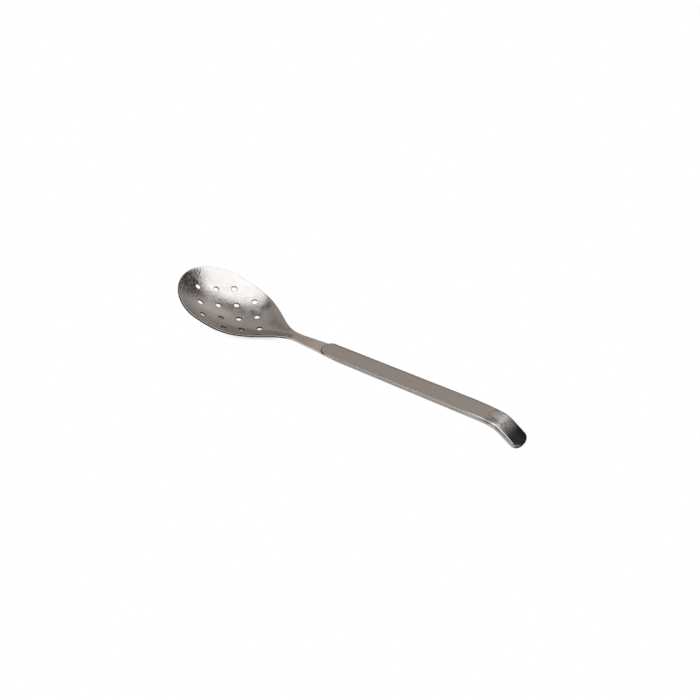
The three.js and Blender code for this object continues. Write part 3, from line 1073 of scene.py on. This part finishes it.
# %% Low walls and horizon
NEAR_LOW_TONE = (0.06, 0.058, 0.055)
FAR_LOW_TONE = (0.09, 0.084, 0.08)
HORIZON_TONE = (0.12, 0.11, 0.105)
NEAR_WAY = heading(90, -115)
FAR_WAY = heading(90, 128)
LOW_PATCH = ((85, 128), (5, 11), (0.34, 0.32, 0.3))

split = add_node(tree, "ShaderNodeSeparateXYZ")
tree.links.new(tree.nodes["Texture Coordinate"].outputs["Generated"], split.inputs["Vector"])
height = split.outputs["Z"]
near_side = ranged(tree, seen_towards(tree, NEAR_WAY), 0.25, 0.5, 0, 1)
low_down = ranged(tree, height, 0.42, 0.3, 0, 1)
room = blended(tree, times(tree, near_side, low_down), room, NEAR_LOW_TONE)
far_side = ranged(tree, seen_towards(tree, FAR_WAY), 0.88, 0.96, 0, 1)
low_down = ranged(tree, height, 0.47, 0.3, 0, 1)
room = blended(tree, times(tree, far_side, low_down), room, FAR_LOW_TONE)
room = blended(tree, ranged(tree, height, 0, 0.4, 0, 1), HORIZON_TONE, room)
room = room_patch(tree, room, *LOW_PATCH)
path = add_node(tree, "ShaderNodeLightPath")
room = blended(tree, path.outputs["Is Camera Ray"], room, (1.0, 1.0, 1.0))
tree.links.new(room, tree.nodes["Background"].inputs["Color"])
tree.nodes["Background"].inputs["Strength"].default_value = 1.0
print("nodes in the room:", len(tree.nodes))

# %% [markdown]
# One large soft box hangs level above the spoon, turned by 47 degrees. Its edges show in the bowl as
# the borders of the bright band, so it is given by where its edges lie and not by its middle. Its
# power follows from its area: a larger box gets more, and the brightness of its face stays the same.

# %% The soft box
BOX_TURN = math.radians(47)
BOX_HEIGHT = 1.2
BOX_LEFT, BOX_RIGHT = -1.3, 1.0
BOX_NEAR, BOX_FAR = -1.2, 0.51
BOX_RADIANCE = 1.8

lamp_data = bpy.data.lights.new("overhead_soft_box", "AREA")
lamp_data.shape = "RECTANGLE"
lamp_data.size = BOX_RIGHT - BOX_LEFT
lamp_data.size_y = BOX_FAR - BOX_NEAR
lamp_data.energy = BOX_RADIANCE * math.pi * lamp_data.size * lamp_data.size_y
lamp = bpy.data.objects.new("overhead_soft_box", lamp_data)
lamp.rotation_euler = (0, 0, BOX_TURN)
box_middle = Vector(((BOX_LEFT + BOX_RIGHT) / 2, (BOX_NEAR + BOX_FAR) / 2, BOX_HEIGHT))
lamp.location = Matrix.Rotation(BOX_TURN, 3, "Z") @ box_middle
bpy.context.scene.collection.objects.link(lamp)
print("soft box:", round(lamp_data.size, 2), "by", round(lamp_data.size_y, 2), "m,",
      round(lamp_data.energy, 1), "W")

# %% [markdown]
# The camera stands four metres off with a long lens, which keeps the spoon's lines nearly parallel as
# in the picture. It looks down at 36 degrees from 31.5 degrees round the side and is turned by almost
# 4 degrees about its own axis. Its three axes are built one from the other and written as a matrix,
# because the order of three turns about fixed axes is easy to get wrong.

# %% The camera
CAMERA_ROUND = math.radians(31.5)
CAMERA_ABOVE = math.radians(36.11)
CAMERA_TURN = math.radians(3.85)
CAMERA_AWAY = 4.0
CAMERA_LENS = 284.9
CAMERA_SENSOR = 36
CAMERA_SEES_TO = 50
AIM = Vector((-0.00284, 0.00107, 0.01658))

back = Vector((
    math.sin(CAMERA_ROUND) * math.cos(CAMERA_ABOVE),
    -math.cos(CAMERA_ROUND) * math.cos(CAMERA_ABOVE),
    math.sin(CAMERA_ABOVE),
))
level = Vector((math.cos(CAMERA_ROUND), math.sin(CAMERA_ROUND), 0))
upright = back.cross(level)
right = level * math.cos(CAMERA_TURN) + upright * math.sin(CAMERA_TURN)
up = back.cross(right)
camera_data = bpy.data.cameras.new("studio_camera")
camera_data.sensor_width = CAMERA_SENSOR
camera_data.lens = CAMERA_LENS
camera_data.clip_end = CAMERA_SEES_TO
camera = bpy.data.objects.new("studio_camera", camera_data)
bpy.context.scene.collection.objects.link(camera)
camera.matrix_world = Matrix((
    (right.x, up.x, back.x, AIM.x + back.x * CAMERA_AWAY),
    (right.y, up.y, back.y, AIM.y + back.y * CAMERA_AWAY),
    (right.z, up.z, back.z, AIM.z + back.z * CAMERA_AWAY),
    (0, 0, 0, 1),
))
bpy.context.scene.camera = camera
bpy.context.scene.view_settings.view_transform = "Standard"
print("camera at:", [round(v, 3) for v in AIM + back * CAMERA_AWAY])
